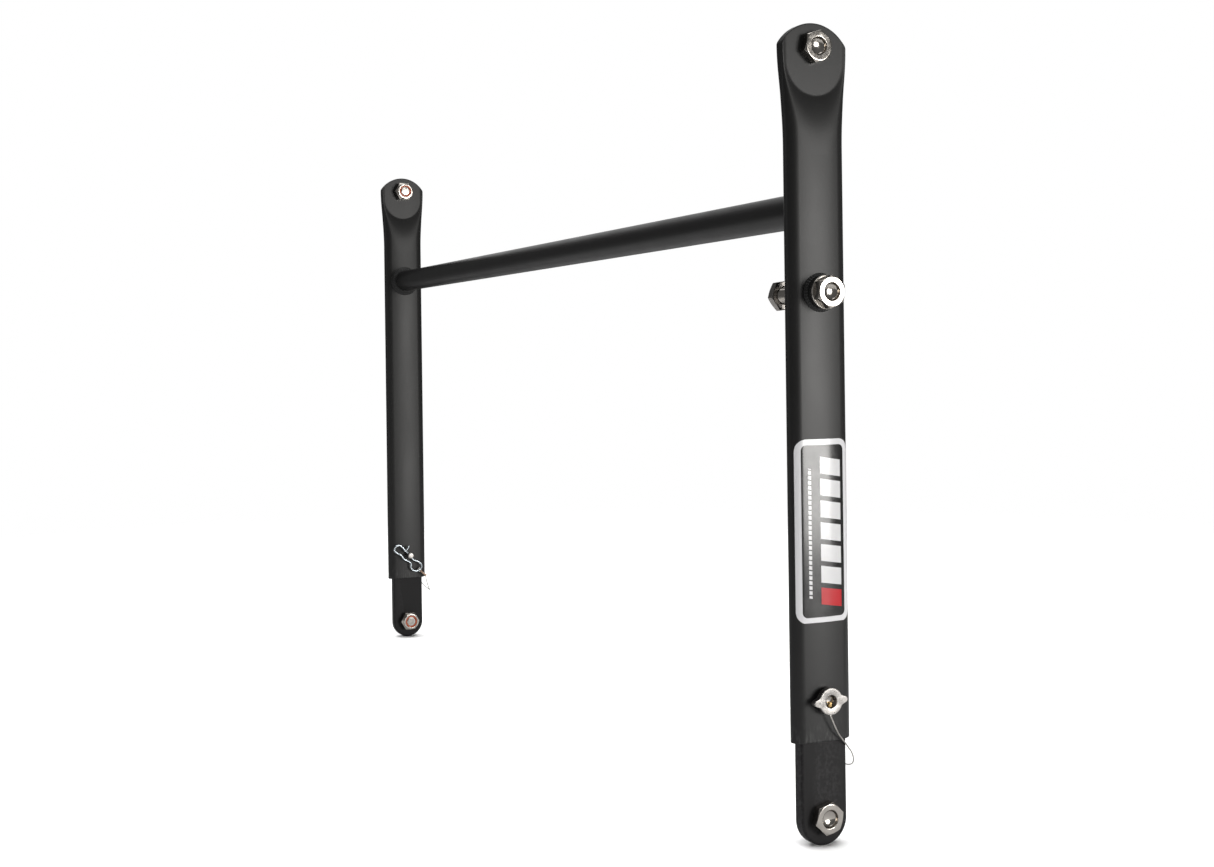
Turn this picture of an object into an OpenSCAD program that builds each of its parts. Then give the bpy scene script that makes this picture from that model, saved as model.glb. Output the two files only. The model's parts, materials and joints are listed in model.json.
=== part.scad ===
// Adjustable H-frame support. Two flat-oval legs stand on one crossbar, and a flat bar telescopes in
// the foot of each leg, held by a clevis pin with a wire lanyard and a spring clip.
// X runs along the crossbar (the right leg is at +X), Y across the legs' wide faces and Z up.
// The origin is on the common axis of the two foot bolts, midway between the legs.
// Everything on a leg is drawn once, for the right leg, with +X pointing outboard, and mirrored for the left.

/* [Layout] */
// Distance between the centre planes of the two legs
leg_spacing = 590; // [300:1:900]
// Height of the top bolts above the foot bolts
top_bolt_z = 340; // [330:1:420]
// Height of the crossbar above the foot bolts
crossbar_z = 269; // [250:1:280]
// Height of the side stud above the foot bolts
side_stud_z = 231.5; // [180:0.5:235]
// Height of the retaining pins above the foot bolts
pin_z = 52; // [48:0.5:60]

/* [Leg tube] */
// Width of the flat-oval tube
tube_w = 30; // [29:0.5:34]
// Thickness of the flat-oval tube
tube_t = 9.8; // [9.8:0.1:12]
// Wall of the tube
tube_wall = 1.6; // [1.4:0.1:1.6]
// Height of the tube's open lower end
tube_bottom_z = 33.5; // [30:0.5:36]
// Width of the crushed top end
eye_w = 33.5; // [32:0.5:36]
// Thickness of the crushed top end
eye_t = 4.2; // [3.6:0.1:5]
// Radius of the arc that ends the tube above the top bolt
eye_arc_r = 19.5; // [18.5:0.5:22]
// Radius of the round pad pressed around the top bolt
pad_r = 16; // [12:0.5:16]

/* [Crossbar] */
// Outside diameter of the crossbar
crossbar_d = 15.875; // [12:0.125:19]
// Wall of the crossbar
crossbar_wall = 1.65; // [1:0.05:2.5]
// Outside diameter of the weld ring at each end of the crossbar
crossbar_weld_d = 22.5; // [20:0.5:24]

/* [Adjuster bar] */
// Width of the adjuster bar
bar_w = 23.5; // [22:0.5:23.5]
// Thickness of the adjuster bar
bar_t = 6.35; // [5:0.05:6.35]
// Spacing of the adjuster bar's pin holes
hole_pitch = 12.7; // [12:0.1:14]
// Pin holes below the one in use, for shortening the leg
holes_below = 1; // [0:1:1]
// Pin holes above the one in use, for lengthening the leg
holes_above = 5; // [1:1:6]

/* [Bolts and nuts] */
// Diameter of every bolt
bolt_d = 8; // [7.6:0.1:8.2]
// Width across the flats of bolt heads and nuts
hex_af = 13; // [12.7:0.01:13.5]
// Height of a bolt head
head_h = 4.3; // [4:0.1:6]
// Height of a lock nut, collar included
lock_nut_h = 7.7; // [7:0.1:10]
// Height of the side stud's thin nut
thin_nut_h = 4; // [3:0.1:6]
// Bare shank between the leg and the side stud's nut
side_stud_reach = 19; // [10:0.5:30]

/* [Retaining pin] */
// Diameter of the pin's shank
pin_d = 4.76; // [4:0.01:5]
// Diameter of the pin's head
pin_head_d = 11.9; // [11:0.1:13]
// Distance over the tips of the head's two ears
pin_ear_span = 17.3; // [16:0.1:18]
// How far the pin's tip stands out of the tube on the inboard side
pin_tip_reach = 7.3; // [7:0.1:9]
// Diameter of the spring clip's wire
clip_wire_d = 1.3; // [1:0.05:1.4]
// Diameter of the lanyard's wire
lanyard_d = 0.7; // [0.5:0.05:0.8]

/* [Hidden] */
$fn = 48;
slack = 0.1;            // overshoot of a cut past the face it opens
LEFT = -1;
RIGHT = 1;

// Leg tube
tube_face = tube_t / 2;
bore_w = tube_w - 2 * tube_wall;
bore_t = tube_t - 2 * tube_wall;
crush_low_z = top_bolt_z - 34;    // the tube has its full section below this
crush_high_z = top_bolt_z - 5;    // and the flat eye's section above this
pad_z = top_bolt_z - 22 + pad_r;  // centre of the pressed pad, whose lower edge is 22 below the bolt
bore_end_z = pad_z - pad_r - 2;   // the bore is crushed shut here
eye_arc_z = top_bolt_z + 10.8 - eye_arc_r;
section_h = 0.05;                 // thickness of a slice that a hull joins to the next
section_fn = 32;

// Adjuster bar
bar_corner_r = 1.2;
bar_end_z = -1;                   // centre of the bar's round lower end
bar_top_z = pin_z + (holes_above + 1) * hole_pitch;

// Bolts and nuts
bolt_r = bolt_d / 2;
bolt_hole_r = bolt_r + 0.15;
hex_corner_r = hex_af / 2 / cos(30);
chamfer_angle = 30;
// How far each hexagon is turned from having a corner straight down, towards +Y
top_head_turn = -12;
foot_head_turn = -14;
stud_head_turn = -6;
stud_nut_turn = 38;
lock_nut_turn = 30;
head_face_r = 6.4;
head_recess_r = 4;
head_recess_deep = 3;
bolt_end_chamfer = 0.9;
bolt_end_r = 3.1;
lock_nut_hex_h = 5.3;
collar_r = 6.1;
insert_r = 4.6;
insert_h = 1.7;
insert_lip = 0.3;                 // the nylon sits this far below the collar's rim
nut_bore_r = bolt_r + 0.12;

// Side stud
bush_r = 7.15;
bush_proud = 3.4;
washer_r = 7.6;
washer_h = 1.6;
weld_w = 1.6;
weld_h = 1.2;
stud_grip_r = bolt_r - 0.3;       // the shank is relieved inside the bush
stud_tail_r = bolt_r - 0.35;      // and threaded under the nut, drawn at the thread's mean radius
stud_nut_bore_r = stud_tail_r + 0.09;
stud_tail_proud = 1.5;
head_seat_x = tube_face + bush_proud + washer_h;
stud_end_x = -tube_face - side_stud_reach - thin_nut_h - stud_tail_proud;

// Label
label_w = 27;
label_h = 81;
label_low_z = pin_z + 34;
label_corner_r = 5;
label_t = 0.2;

// Retaining pin and clip
pin_r = pin_d / 2;
pin_fit = 0.06;                   // radial clearance of the pin in its holes
pin_shoulder_r = 4.6;
pin_shoulder_h = 1.6;
pin_head_h = 2.8;
pin_recess_r = 2.85;
pin_recess_deep = 3.6;
ear_tip_r = 1.5;
ear_root_y = 3;
ear_root_r = 3.4;
pin_tip_x = -tube_face - pin_tip_reach;
pin_face_x = tube_face + pin_shoulder_h + pin_head_h;
clip_x = pin_tip_x + 3.8;
clip_fit = 0.07;                  // radial clearance of the wire in the cross hole
ferrule_r = 1.1;
ferrule_top_z = -0.2;
ferrule_low_z = -2.6;
ferrule_x = pin_face_x - 1.5;
cable_exit_r = lanyard_d / 2 + 0.1;
crimp_d = 1.7;
crimp_from = 1.3;
crimp_to = 7.4;
eye_ring_r = 1.2;
eye_wire_r = 0.3;
wire_sides = 8;
steps_per_span = 4;

// The clip's centre line in its own plane, from the straight leg's tip, through the pin at [0, 0],
// round the ring that takes the lanyard, out past the pin, round the far loop and back to the hooked end
clip_line = [
    [3.6, 0], [0.4, 0], [-2.8, 0], [-5.6, -0.5], [-9.4, -2.5], [-13, -2.2], [-14.2, 1.2], [-12.4, 4.6],
    [-8.6, 5.4], [-5.4, 3.1], [-2.6, 3.9], [0.6, 5.2], [4.8, 5.2], [8.6, 6.7], [11.4, 6.8], [12.9, 4.1],
    [11.4, 1.2], [8, 0.4], [5, 0.5], [5.3, -1.8], [6, -4]
];
clip_ring_end = [-14.2, 1.2];

// How far each pin is turned about its axis, from +Y towards +Z, and with it its ears
function pin_turn(side) = side == RIGHT ? 2.5 : 38.3;

// The clip's axis, from +Y towards +Z; the cross hole is square to the ears
function clip_turn(side) = 90 + pin_turn(side);

function crimp_turn(side) = side == RIGHT ? -78 : -42;

// The lanyard's centre line about the pin's axis: out of the head's rim, down the outboard face, round
// the leg's edge and up to the crimp sleeve on the inboard side
function lanyard_line(side) = concat(
    [[ferrule_x, 0, ferrule_low_z - 0.05], [ferrule_x, 0, -5.2]],
    side == RIGHT ? right_loop : left_loop,
    [crimp_point(side, crimp_to - 1)]
);
left_loop = [
    [8, 1, -8.5], [7.5, 4, -13.5], [6.5, 8.5, -18], [4.5, 12.5, -22.5], [1, 16, -27],
    [-2.5, 18, -29], [-6, 17, -28.5], [-8, 14.5, -23.5]
];
right_loop = [
    [8, 1, -8], [7, 5, -15], [4, 11, -21], [0, 17, -27], [-4, 20, -32],
    [-7, 19, -33.5], [-8.5, 14, -31], [-8.5, 8, -26.5], [-8.5, 3, -23.5]
];

// A place along the crimp sleeve's axis, counted from the clip's ring
function crimp_point(side, along) =
    clip_point(side, clip_ring_end) + along * [0, cos(crimp_turn(side)), sin(crimp_turn(side))];

// A point of the clip's own plane, turned into the leg's Y and Z
function clip_point(side, p) = let (turn = clip_turn(side))
    [clip_x, p[0] * cos(turn) - p[1] * sin(turn), p[0] * sin(turn) + p[1] * cos(turn)];

function unit(v) = v / norm(v);

// A point on the smooth curve through b and c, where a and d are their neighbours
function curve_point(a, b, c, d, t) =
    0.5 * (2 * b + t * (c - a) + t * t * (2 * a - 5 * b + 4 * c - d) + t * t * t * (3 * b - a - 3 * c + d));

// A smooth curve through all the points of a line
function smooth_line(p) = [
    for (i = [0:len(p) - 2], s = [0:steps_per_span - 1])
        curve_point(p[max(i - 1, 0)], p[i], p[i + 1], p[min(i + 2, len(p) - 1)], s / steps_per_span),
    p[len(p) - 1]
];

function line_direction(p, i) = unit(p[min(i + 1, len(p) - 1)] - p[max(i - 1, 0)]);

// One side direction for each point of a line, turned as little as possible from point to point
function side_directions(p, i, side, found = []) =
    i == len(p) ? found :
    let (d = line_direction(p, i), next = unit(side - (side * d) * d))
    side_directions(p, i + 1, next, concat(found, [next]));

// A round wire along a line of points
module wire(p, d, first_side) {
    n = len(p);
    sides = side_directions(p, 0, first_side);
    rings = [
        for (i = [0:n - 1], k = [0:wire_sides - 1])
            let (other = cross(line_direction(p, i), sides[i]), turn = 360 * k / wire_sides)
            p[i] + d / 2 * (cos(turn) * sides[i] + sin(turn) * other)
    ];
    skin = [
        for (i = [0:n - 2], k = [0:wire_sides - 1])
            let (a = i * wire_sides, b = a + wire_sides, next = (k + 1) % wire_sides)
            [a + k, b + k, b + next, a + next]
    ];
    start_cap = [for (k = [0:wire_sides - 1]) k];
    end_cap = [for (k = [wire_sides - 1:-1:0]) (n - 1) * wire_sides + k];
    polyhedron(rings, concat(skin, [start_cap, end_cap]), convexity = 6);
}

// Puts a shape drawn for the right leg on either leg, at a height
module on_leg(side, z = 0) {
    translate([side * leg_spacing / 2, 0, z]) {
        if (side == RIGHT) children();
        else mirror([1, 0, 0]) children();
    }
}

// Turns a shape drawn along +Z to lie along +X, and moves it to x
module along_x(x = 0) {
    translate([x, 0, 0]) rotate([0, 90, 0]) children();
}

// Flat-oval outline, thin along X and wide along Y
module flat_oval(w, t) {
    square([t, w - t], center = true);
    for (end = [-1, 1]) translate([0, end * (w - t) / 2]) circle(d = t);
}

module oval_slice(z, w, t) {
    translate([0, 0, z]) linear_extrude(section_h) flat_oval(w, t, $fn = section_fn);
}

// Hexagon along +Z with its outer corners bevelled; corners point up and down once it lies along X
module hexagon(h, face_r = head_face_r) {
    rim_r = hex_corner_r + 1;
    intersection() {
        cylinder(r = hex_corner_r, h = h, $fn = 6);
        rotate_extrude() polygon([
            [0, 0], [rim_r, 0], [rim_r, h - (rim_r - face_r) * tan(chamfer_angle)], [face_r, h], [0, h]
        ]);
    }
}

// Bolt head on the plane z = 0, drilled and dished in its face
module bolt_head() {
    difference() {
        hexagon(head_h);
        translate([0, 0, head_h - head_recess_deep]) rotate_extrude() polygon(concat(
            [for (a = [0:15:75]) [head_recess_r * sin(a), head_recess_deep * 0.6 * (1 - cos(a))]],
            [[head_recess_r, head_recess_deep * 0.6], [head_recess_r, head_recess_deep + slack],
             [0, head_recess_deep + slack]]
        ));
    }
}

// Shank down from z = 0, with its end bevelled
module bolt_shank(length) {
    rotate_extrude() polygon([
        [0, 0], [bolt_r, 0], [bolt_r, bolt_end_chamfer - length], [bolt_end_r, -length], [0, -length]
    ]);
}

// Hex bolt through a joint of the given half thickness, its end level with the lock nut's rim
module through_bolt(half_t, head_turn) {
    color("lightgray") {
        along_x(half_t) rotate(head_turn) bolt_head();
        along_x(half_t) bolt_shank(2 * half_t + lock_nut_h);
    }
}

// Lock nut on the inboard side of a joint: hexagon, collar and the groove for its nylon ring
module lock_nut(half_t) {
    color("silver") mirror([1, 0, 0]) along_x(half_t) rotate(lock_nut_turn) difference() {
        union() {
            hexagon(lock_nut_hex_h, collar_r + 0.5);
            cylinder(r = collar_r, h = lock_nut_h);
        }
        translate([0, 0, -slack]) cylinder(r = nut_bore_r, h = lock_nut_h + 2 * slack);
        translate([0, 0, lock_nut_h - insert_h - insert_lip]) cylinder(r = insert_r, h = insert_h + 1);
    }
}

// Nylon ring, snug over the bolt's bevelled end
module nut_insert(half_t) {
    top = lock_nut_h - insert_lip;
    snug = 0.08;
    bevel = (bolt_r - bolt_end_r) / bolt_end_chamfer;
    color("orangered") mirror([1, 0, 0]) along_x(half_t) rotate_extrude() polygon([
        [nut_bore_r, top - insert_h], [insert_r, top - insert_h], [insert_r, top],
        [bolt_end_r + insert_lip * bevel + snug, top], [nut_bore_r, lock_nut_h - bolt_end_chamfer - snug]
    ]);
}

module leg_tube() {
    color("dimgray") difference() {
        union() {
            translate([0, 0, tube_bottom_z]) linear_extrude(crush_low_z - tube_bottom_z)
                flat_oval(tube_w, tube_t);
            hull() {
                oval_slice(crush_low_z, tube_w, tube_t);
                oval_slice(crush_high_z, eye_w, eye_t);
            }
            intersection() {
                translate([0, 0, crush_high_z]) linear_extrude(eye_arc_r) flat_oval(eye_w, eye_t);
                translate([0, 0, eye_arc_z]) along_x(-eye_t) cylinder(r = eye_arc_r, h = 2 * eye_t);
            }
        }
        translate([0, 0, tube_bottom_z - slack])
            linear_extrude(crush_low_z - tube_bottom_z) flat_oval(bore_w, bore_t);
        hull() {
            oval_slice(crush_low_z - 1, bore_w, bore_t);
            oval_slice(bore_end_z, bore_w - 6, bore_t / 2);
        }
        for (face = [-1, 1]) translate([face * (eye_t / 2 + tube_t / 2), 0, pad_z])
            along_x(-tube_t / 2) cylinder(r = pad_r, h = tube_t);
        translate([0, 0, top_bolt_z]) along_x(-tube_t) cylinder(r = bolt_hole_r, h = 2 * tube_t);
        translate([0, 0, pin_z]) along_x(-tube_t) cylinder(r = pin_r + pin_fit, h = 2 * tube_t);
    }
}

module left_leg_tube() {
    on_leg(LEFT) leg_tube();
}

module right_leg_tube() {
    difference() {
        on_leg(RIGHT) leg_tube();
        on_leg(RIGHT, side_stud_z) along_x(-tube_t) cylinder(r = bush_r + 0.02, h = 2 * tube_t);
    }
}

module crossbar_tube() {
    length = leg_spacing - tube_t;
    color("dimgray") translate([0, 0, crossbar_z]) along_x(-length / 2) difference() {
        cylinder(d = crossbar_d, h = length);
        translate([0, 0, -slack]) cylinder(d = crossbar_d - 2 * crossbar_wall, h = length + 2 * slack);
    }
}

// Weld ring against a face at z = 0, with a hollow profile that runs up the part it holds
module weld_ring(inner_r, w, h) {
    arc = [for (a = [0:15:90]) [inner_r + w * (1 - 0.75 * sin(a)), h * (1 - 0.75 * cos(a))]];
    rotate_extrude() polygon(concat([[inner_r, 0], [inner_r + w, 0]], arc, [[inner_r, h]]));
}

module crossbar_weld(side) {
    inner_r = crossbar_d / 2 + 0.02;
    color("dimgray") on_leg(side, crossbar_z) mirror([1, 0, 0]) along_x(tube_face)
        weld_ring(inner_r, crossbar_weld_d / 2 - inner_r, 2.6);
}

module top_bolt(side) {
    on_leg(side, top_bolt_z) through_bolt(eye_t / 2, top_head_turn);
}

module top_nut(side) {
    on_leg(side, top_bolt_z) lock_nut(eye_t / 2);
}

module top_nut_insert(side) {
    on_leg(side, top_bolt_z) nut_insert(eye_t / 2);
}

module side_stud_bush() {
    color("dimgray") on_leg(RIGHT, side_stud_z) along_x(-tube_face) difference() {
        cylinder(r = bush_r, h = tube_t + bush_proud);
        translate([0, 0, -slack]) cylinder(r = bolt_r + 0.1, h = tube_t + bush_proud + 2 * slack);
    }
}

module side_stud_weld() {
    color("dimgray") on_leg(RIGHT, side_stud_z) along_x(tube_face) weld_ring(bush_r + 0.02, weld_w, weld_h);
}

module side_stud_washer() {
    color("silver") on_leg(RIGHT, side_stud_z) along_x(tube_face + bush_proud) difference() {
        cylinder(r = washer_r, h = washer_h);
        translate([0, 0, -slack]) cylinder(r = bolt_r + 0.2, h = washer_h + 2 * slack);
    }
}

module side_stud_bolt() {
    nut_seat_x = -tube_face - side_stud_reach;
    color("lightgray") on_leg(RIGHT, side_stud_z) {
        along_x(head_seat_x) rotate(stud_head_turn) bolt_head();
        along_x(-tube_face) cylinder(r = stud_grip_r, h = tube_face + head_seat_x);
        along_x(nut_seat_x) cylinder(r = bolt_r, h = side_stud_reach);
        along_x(stud_end_x) cylinder(r = stud_tail_r, h = nut_seat_x - stud_end_x);
    }
}

module side_stud_nut() {
    bore_h = thin_nut_h + 2 * slack;
    color("silver") on_leg(RIGHT, side_stud_z) mirror([1, 0, 0]) along_x(tube_face + side_stud_reach)
        rotate(stud_nut_turn) difference() {
            hexagon(thin_nut_h);
            translate([0, 0, -slack]) cylinder(r = stud_nut_bore_r, h = bore_h);
        }
}

// Label wrapped round the outboard face of the right leg
module leg_label() {
    flat_h = label_h - 2 * label_corner_r;
    flat_w = label_w - 2 * label_corner_r;
    color("white") on_leg(RIGHT, label_low_z) intersection() {
        linear_extrude(label_h) difference() {
            flat_oval(tube_w + 2 * label_t, tube_t + 2 * label_t);
            flat_oval(tube_w, tube_t);
        }
        along_x() linear_extrude(tube_t) union() {
            translate([-label_h, -flat_w / 2]) square([label_h, flat_w]);
            translate([label_corner_r - label_h, -label_w / 2]) square([flat_h, label_w]);
            for (y = [-1, 1], z = [label_corner_r, label_h - label_corner_r])
                translate([-z, y * flat_w / 2]) circle(r = label_corner_r);
        }
    }
}

module adjuster_bar(side) {
    corner = 2 * bar_corner_r;
    color("dimgray") on_leg(side) difference() {
        union() {
            translate([0, 0, bar_end_z]) linear_extrude(bar_top_z - bar_end_z) union() {
                square([bar_t - corner, bar_w], center = true);
                square([bar_t, bar_w - corner], center = true);
                for (x = [-1, 1], y = [-1, 1])
                    translate([x * (bar_t - corner) / 2, y * (bar_w - corner) / 2]) circle(d = corner);
            }
            translate([0, 0, bar_end_z]) round_bar_end();
        }
        along_x(-bar_t) cylinder(r = bolt_hole_r, h = 2 * bar_t);
        for (i = [-holes_below:holes_above]) translate([0, 0, pin_z + i * hole_pitch])
            along_x(-bar_t) cylinder(r = pin_r + pin_fit, h = 2 * bar_t);
    }
}

// Half disc with rounded edges that ends the adjuster bar
module round_bar_end() {
    inner = bar_t / 2 - bar_corner_r;
    outer = bar_w / 2 - bar_corner_r;
    intersection() {
        along_x() rotate_extrude() union() {
            translate([0, -bar_t / 2]) square([outer, bar_t]);
            translate([0, -inner]) square([bar_w / 2, 2 * inner]);
            for (x = [-1, 1]) translate([outer, x * inner]) circle(r = bar_corner_r);
        }
        translate([-bar_t, -bar_w, -bar_w]) cube([2 * bar_t, 2 * bar_w, bar_w]);
    }
}

module foot_bolt(side) {
    on_leg(side) through_bolt(bar_t / 2, foot_head_turn);
}

module foot_nut(side) {
    on_leg(side) lock_nut(bar_t / 2);
}

module foot_nut_insert(side) {
    on_leg(side) nut_insert(bar_t / 2);
}

// Clevis pin with two ears, a drilled head and a cross hole for the clip
module pin(side) {
    tip_bevel = 0.5;
    color("silver") on_leg(side, pin_z) difference() {
        union() {
            along_x(pin_tip_x + tip_bevel) cylinder(r = pin_r, h = tube_face - pin_tip_x);
            along_x(pin_tip_x) cylinder(r1 = pin_r - tip_bevel, r2 = pin_r, h = tip_bevel);
            along_x(tube_face) cylinder(r = pin_shoulder_r, h = pin_shoulder_h + slack);
            along_x(tube_face + pin_shoulder_h) rotate(pin_turn(side)) linear_extrude(pin_head_h)
                pin_head_outline();
        }
        along_x(pin_face_x - pin_recess_deep) cylinder(r = pin_recess_r, h = pin_recess_deep + slack);
        translate([ferrule_x, 0, 0]) rotate([180, 0, 0]) cylinder(r = cable_exit_r, h = pin_head_d);
        translate([clip_x, 0, 0]) rotate([pin_turn(side), 0, 0])
            cylinder(r = clip_wire_d / 2 + clip_fit, h = pin_head_d, center = true);
    }
}

module pin_head_outline() {
    tip_y = pin_ear_span / 2 - ear_tip_r;
    circle(d = pin_head_d);
    for (end = [-1, 1]) {
        translate([0, end * tip_y]) circle(r = ear_tip_r);
        polygon([
            [-ear_tip_r, end * tip_y], [ear_tip_r, end * tip_y],
            [ear_root_r, end * ear_root_y], [-ear_root_r, end * ear_root_y]
        ]);
    }
}

module pin_ferrule(side) {
    color("gold") on_leg(side, pin_z) translate([ferrule_x, 0, ferrule_low_z])
        cylinder(r = ferrule_r, h = ferrule_top_z - ferrule_low_z);
}

// Wire from the pin's head to the clip, with its crimp sleeve and the eye that holds the clip's ring
module lanyard(side) {
    on_leg(side, pin_z) {
        color("silver") wire(smooth_line(lanyard_line(side)), lanyard_d, [0, 1, 0]);
        color("peru") translate(crimp_point(side, crimp_from)) rotate([crimp_turn(side) - 90, 0, 0])
            cylinder(d = crimp_d, h = crimp_to - crimp_from);
        color("silver") translate(crimp_point(side, 0)) rotate([crimp_turn(side), 0, 0])
            rotate_extrude() translate([eye_ring_r, 0]) circle(r = eye_wire_r, $fn = 16);
    }
}

module clip(side) {
    line = [for (p = smooth_line(clip_line)) clip_point(side, p)];
    color("lightsteelblue") on_leg(side, pin_z) wire(line, clip_wire_d, [1, 0, 0]);
}

left_leg_tube();
right_leg_tube();
crossbar_tube();
crossbar_weld(LEFT);  // left_crossbar_weld
crossbar_weld(RIGHT);  // right_crossbar_weld
top_bolt(LEFT);  // left_top_bolt
top_bolt(RIGHT);  // right_top_bolt
top_nut(LEFT);  // left_top_nut
top_nut(RIGHT);  // right_top_nut
top_nut_insert(LEFT);  // left_top_nut_insert
top_nut_insert(RIGHT);  // right_top_nut_insert
side_stud_bush();
side_stud_weld();
side_stud_washer();
side_stud_bolt();
side_stud_nut();
leg_label();
adjuster_bar(LEFT);  // left_adjuster_bar
adjuster_bar(RIGHT);  // right_adjuster_bar
foot_bolt(LEFT);  // left_foot_bolt
foot_bolt(RIGHT);  // right_foot_bolt
foot_nut(LEFT);  // left_foot_nut
foot_nut(RIGHT);  // right_foot_nut
foot_nut_insert(LEFT);  // left_foot_nut_insert
foot_nut_insert(RIGHT);  // right_foot_nut_insert
pin(LEFT);  // left_pin
pin(RIGHT);  // right_pin
pin_ferrule(LEFT);  // left_pin_ferrule
pin_ferrule(RIGHT);  // right_pin_ferrule
lanyard(LEFT);  // left_lanyard
lanyard(RIGHT);  // right_lanyard
clip(LEFT);  // left_clip
clip(RIGHT);  // right_clip
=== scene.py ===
"""Looks of the adjustable H-frame support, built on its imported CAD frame.

Shapes are drawn in millimetres about their own axis, for the right leg, with +X pointing outboard and Y
across the leg. placed() moves them to their place, and mirrors them for the left leg.
"""

import json

import bmesh
import bpy
import numpy as np
from mathutils import Matrix, Vector

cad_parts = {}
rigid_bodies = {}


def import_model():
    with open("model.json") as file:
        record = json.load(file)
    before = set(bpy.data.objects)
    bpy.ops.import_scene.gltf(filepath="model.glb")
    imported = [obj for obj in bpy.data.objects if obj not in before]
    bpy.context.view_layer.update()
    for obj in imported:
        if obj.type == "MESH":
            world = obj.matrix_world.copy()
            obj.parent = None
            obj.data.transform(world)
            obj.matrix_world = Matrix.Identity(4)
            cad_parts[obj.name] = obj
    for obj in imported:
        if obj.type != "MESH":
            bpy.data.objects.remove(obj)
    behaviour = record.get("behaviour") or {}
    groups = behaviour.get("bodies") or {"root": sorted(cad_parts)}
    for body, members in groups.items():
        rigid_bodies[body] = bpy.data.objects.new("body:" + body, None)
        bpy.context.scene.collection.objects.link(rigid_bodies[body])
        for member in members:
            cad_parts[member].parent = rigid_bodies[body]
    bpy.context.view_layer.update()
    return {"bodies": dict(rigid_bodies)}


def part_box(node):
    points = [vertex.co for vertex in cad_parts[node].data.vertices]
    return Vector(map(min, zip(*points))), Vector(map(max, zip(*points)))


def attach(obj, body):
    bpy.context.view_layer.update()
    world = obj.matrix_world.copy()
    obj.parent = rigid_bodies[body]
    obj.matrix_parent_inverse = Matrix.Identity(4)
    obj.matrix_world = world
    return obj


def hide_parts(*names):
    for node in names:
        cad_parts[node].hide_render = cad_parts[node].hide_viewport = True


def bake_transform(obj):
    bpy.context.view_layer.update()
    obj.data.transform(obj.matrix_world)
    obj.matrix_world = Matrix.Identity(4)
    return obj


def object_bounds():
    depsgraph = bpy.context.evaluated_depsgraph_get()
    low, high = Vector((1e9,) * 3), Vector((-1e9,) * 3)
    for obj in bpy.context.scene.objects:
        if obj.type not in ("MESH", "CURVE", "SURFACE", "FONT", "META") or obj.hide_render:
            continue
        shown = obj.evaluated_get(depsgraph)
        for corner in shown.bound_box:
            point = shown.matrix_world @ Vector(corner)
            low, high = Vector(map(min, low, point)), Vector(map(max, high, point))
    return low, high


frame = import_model()

MM = 0.001
LEFT, RIGHT = -1, 1
SIDE_NAMES = {LEFT: "left", RIGHT: "right"}
TWO_PI = 2 * np.pi


# ---- Sizes -----------------------------------------------------------------
# What the frame can tell is read from it; the rest is the detail that only the looks have.
def low(node):
    return np.array(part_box(node)[0]) / MM


def high(node):
    return np.array(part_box(node)[1]) / MM


def middle(node):
    return (low(node) + high(node)) / 2


def size(node):
    return high(node) - low(node)


# Layout
LEG_X = middle("right_adjuster_bar")[0]
TOP_Z = middle("right_top_bolt")[2]
CROSSBAR_Z = middle("crossbar_tube")[2]
STUD_Z = middle("side_stud_washer")[2]
PIN_Z = middle("right_pin")[2]
FOOT_Z = middle("right_foot_bolt")[2]

# Leg tube
TUBE_W = 30
TUBE_FACE = size("right_leg_tube")[0] / 2
TUBE_WALL = 1.6
TUBE_LOW_Z, TUBE_HIGH_Z = low("right_leg_tube")[2], high("right_leg_tube")[2]
EYE_W = size("right_leg_tube")[1]
EYE_FACE = LEG_X - high("right_top_nut")[0]
EYE_SHEET = 2.6
EYE_ARC_R = 19.5
EYE_CORNER_R = 3
PAD_R = 14.6
PAD_Z = TOP_Z - 6.9
PUNCH_FADE = 30
PUNCH_CURVE = 2.8  # how steeply the punch's ramp starts
PRESS_BLEND = 0.6
CROWN = 0.33  # how much thinner the tube is at the sides of its faces, where they bulge a little
CRUSH_LOW_Z, CRUSH_HIGH_Z = TOP_Z - 38, TOP_Z - 3
FLARE_LOW_Z, FLARE_HIGH_Z = TOP_Z - 44, TOP_Z - 2
BORE_END_Z = TOP_Z - 25
RIM_R = 0.45  # rounding of the tube's lower rim

# Adjuster bar
BAR_W = size("right_adjuster_bar")[1]
BAR_FACE = size("right_adjuster_bar")[0] / 2
BAR_HIGH_Z = high("right_adjuster_bar")[2]
BAR_EDGE = 1.2
BAR_CORNER_R = 1.5
BAR_END_Z = low("right_adjuster_bar")[2] + BAR_W / 2
HOLE_PITCH = 12.7
HOLES = range(-1, 6)

# Bolts and nuts
BOLT_R = 8 / 2
BOLT_HOLE_R = BOLT_R + 0.15
HEX_AF = 13
HEX_CORNER = 0.35
HEAD_H = high("right_top_bolt")[0] - LEG_X - EYE_FACE
HEAD_FACE_R = 6.4
RECESS_R = 4
RECESS_WALL = 1.2
RECESS_DISH = 1.8
BOLT_END_R, BOLT_END_BEVEL = 3.1, 0.9
LOCK_NUT_H = size("right_top_nut")[0]
LOCK_NUT_HEX_H = 5.3
COLLAR_R = 6.1
INSERT_R = size("right_top_nut_insert")[1] / 2
INSERT_H = 1.7
INSERT_LIP = 0.3
CHAMFER = np.tan(np.radians(30))
# Where a corner of each hexagon points, in degrees from straight down towards +Y
TOP_HEAD_TURN, FOOT_HEAD_TURN, STUD_HEAD_TURN, STUD_NUT_TURN, LOCK_NUT_TURN = -12, -14, -6, 38, 30

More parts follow.
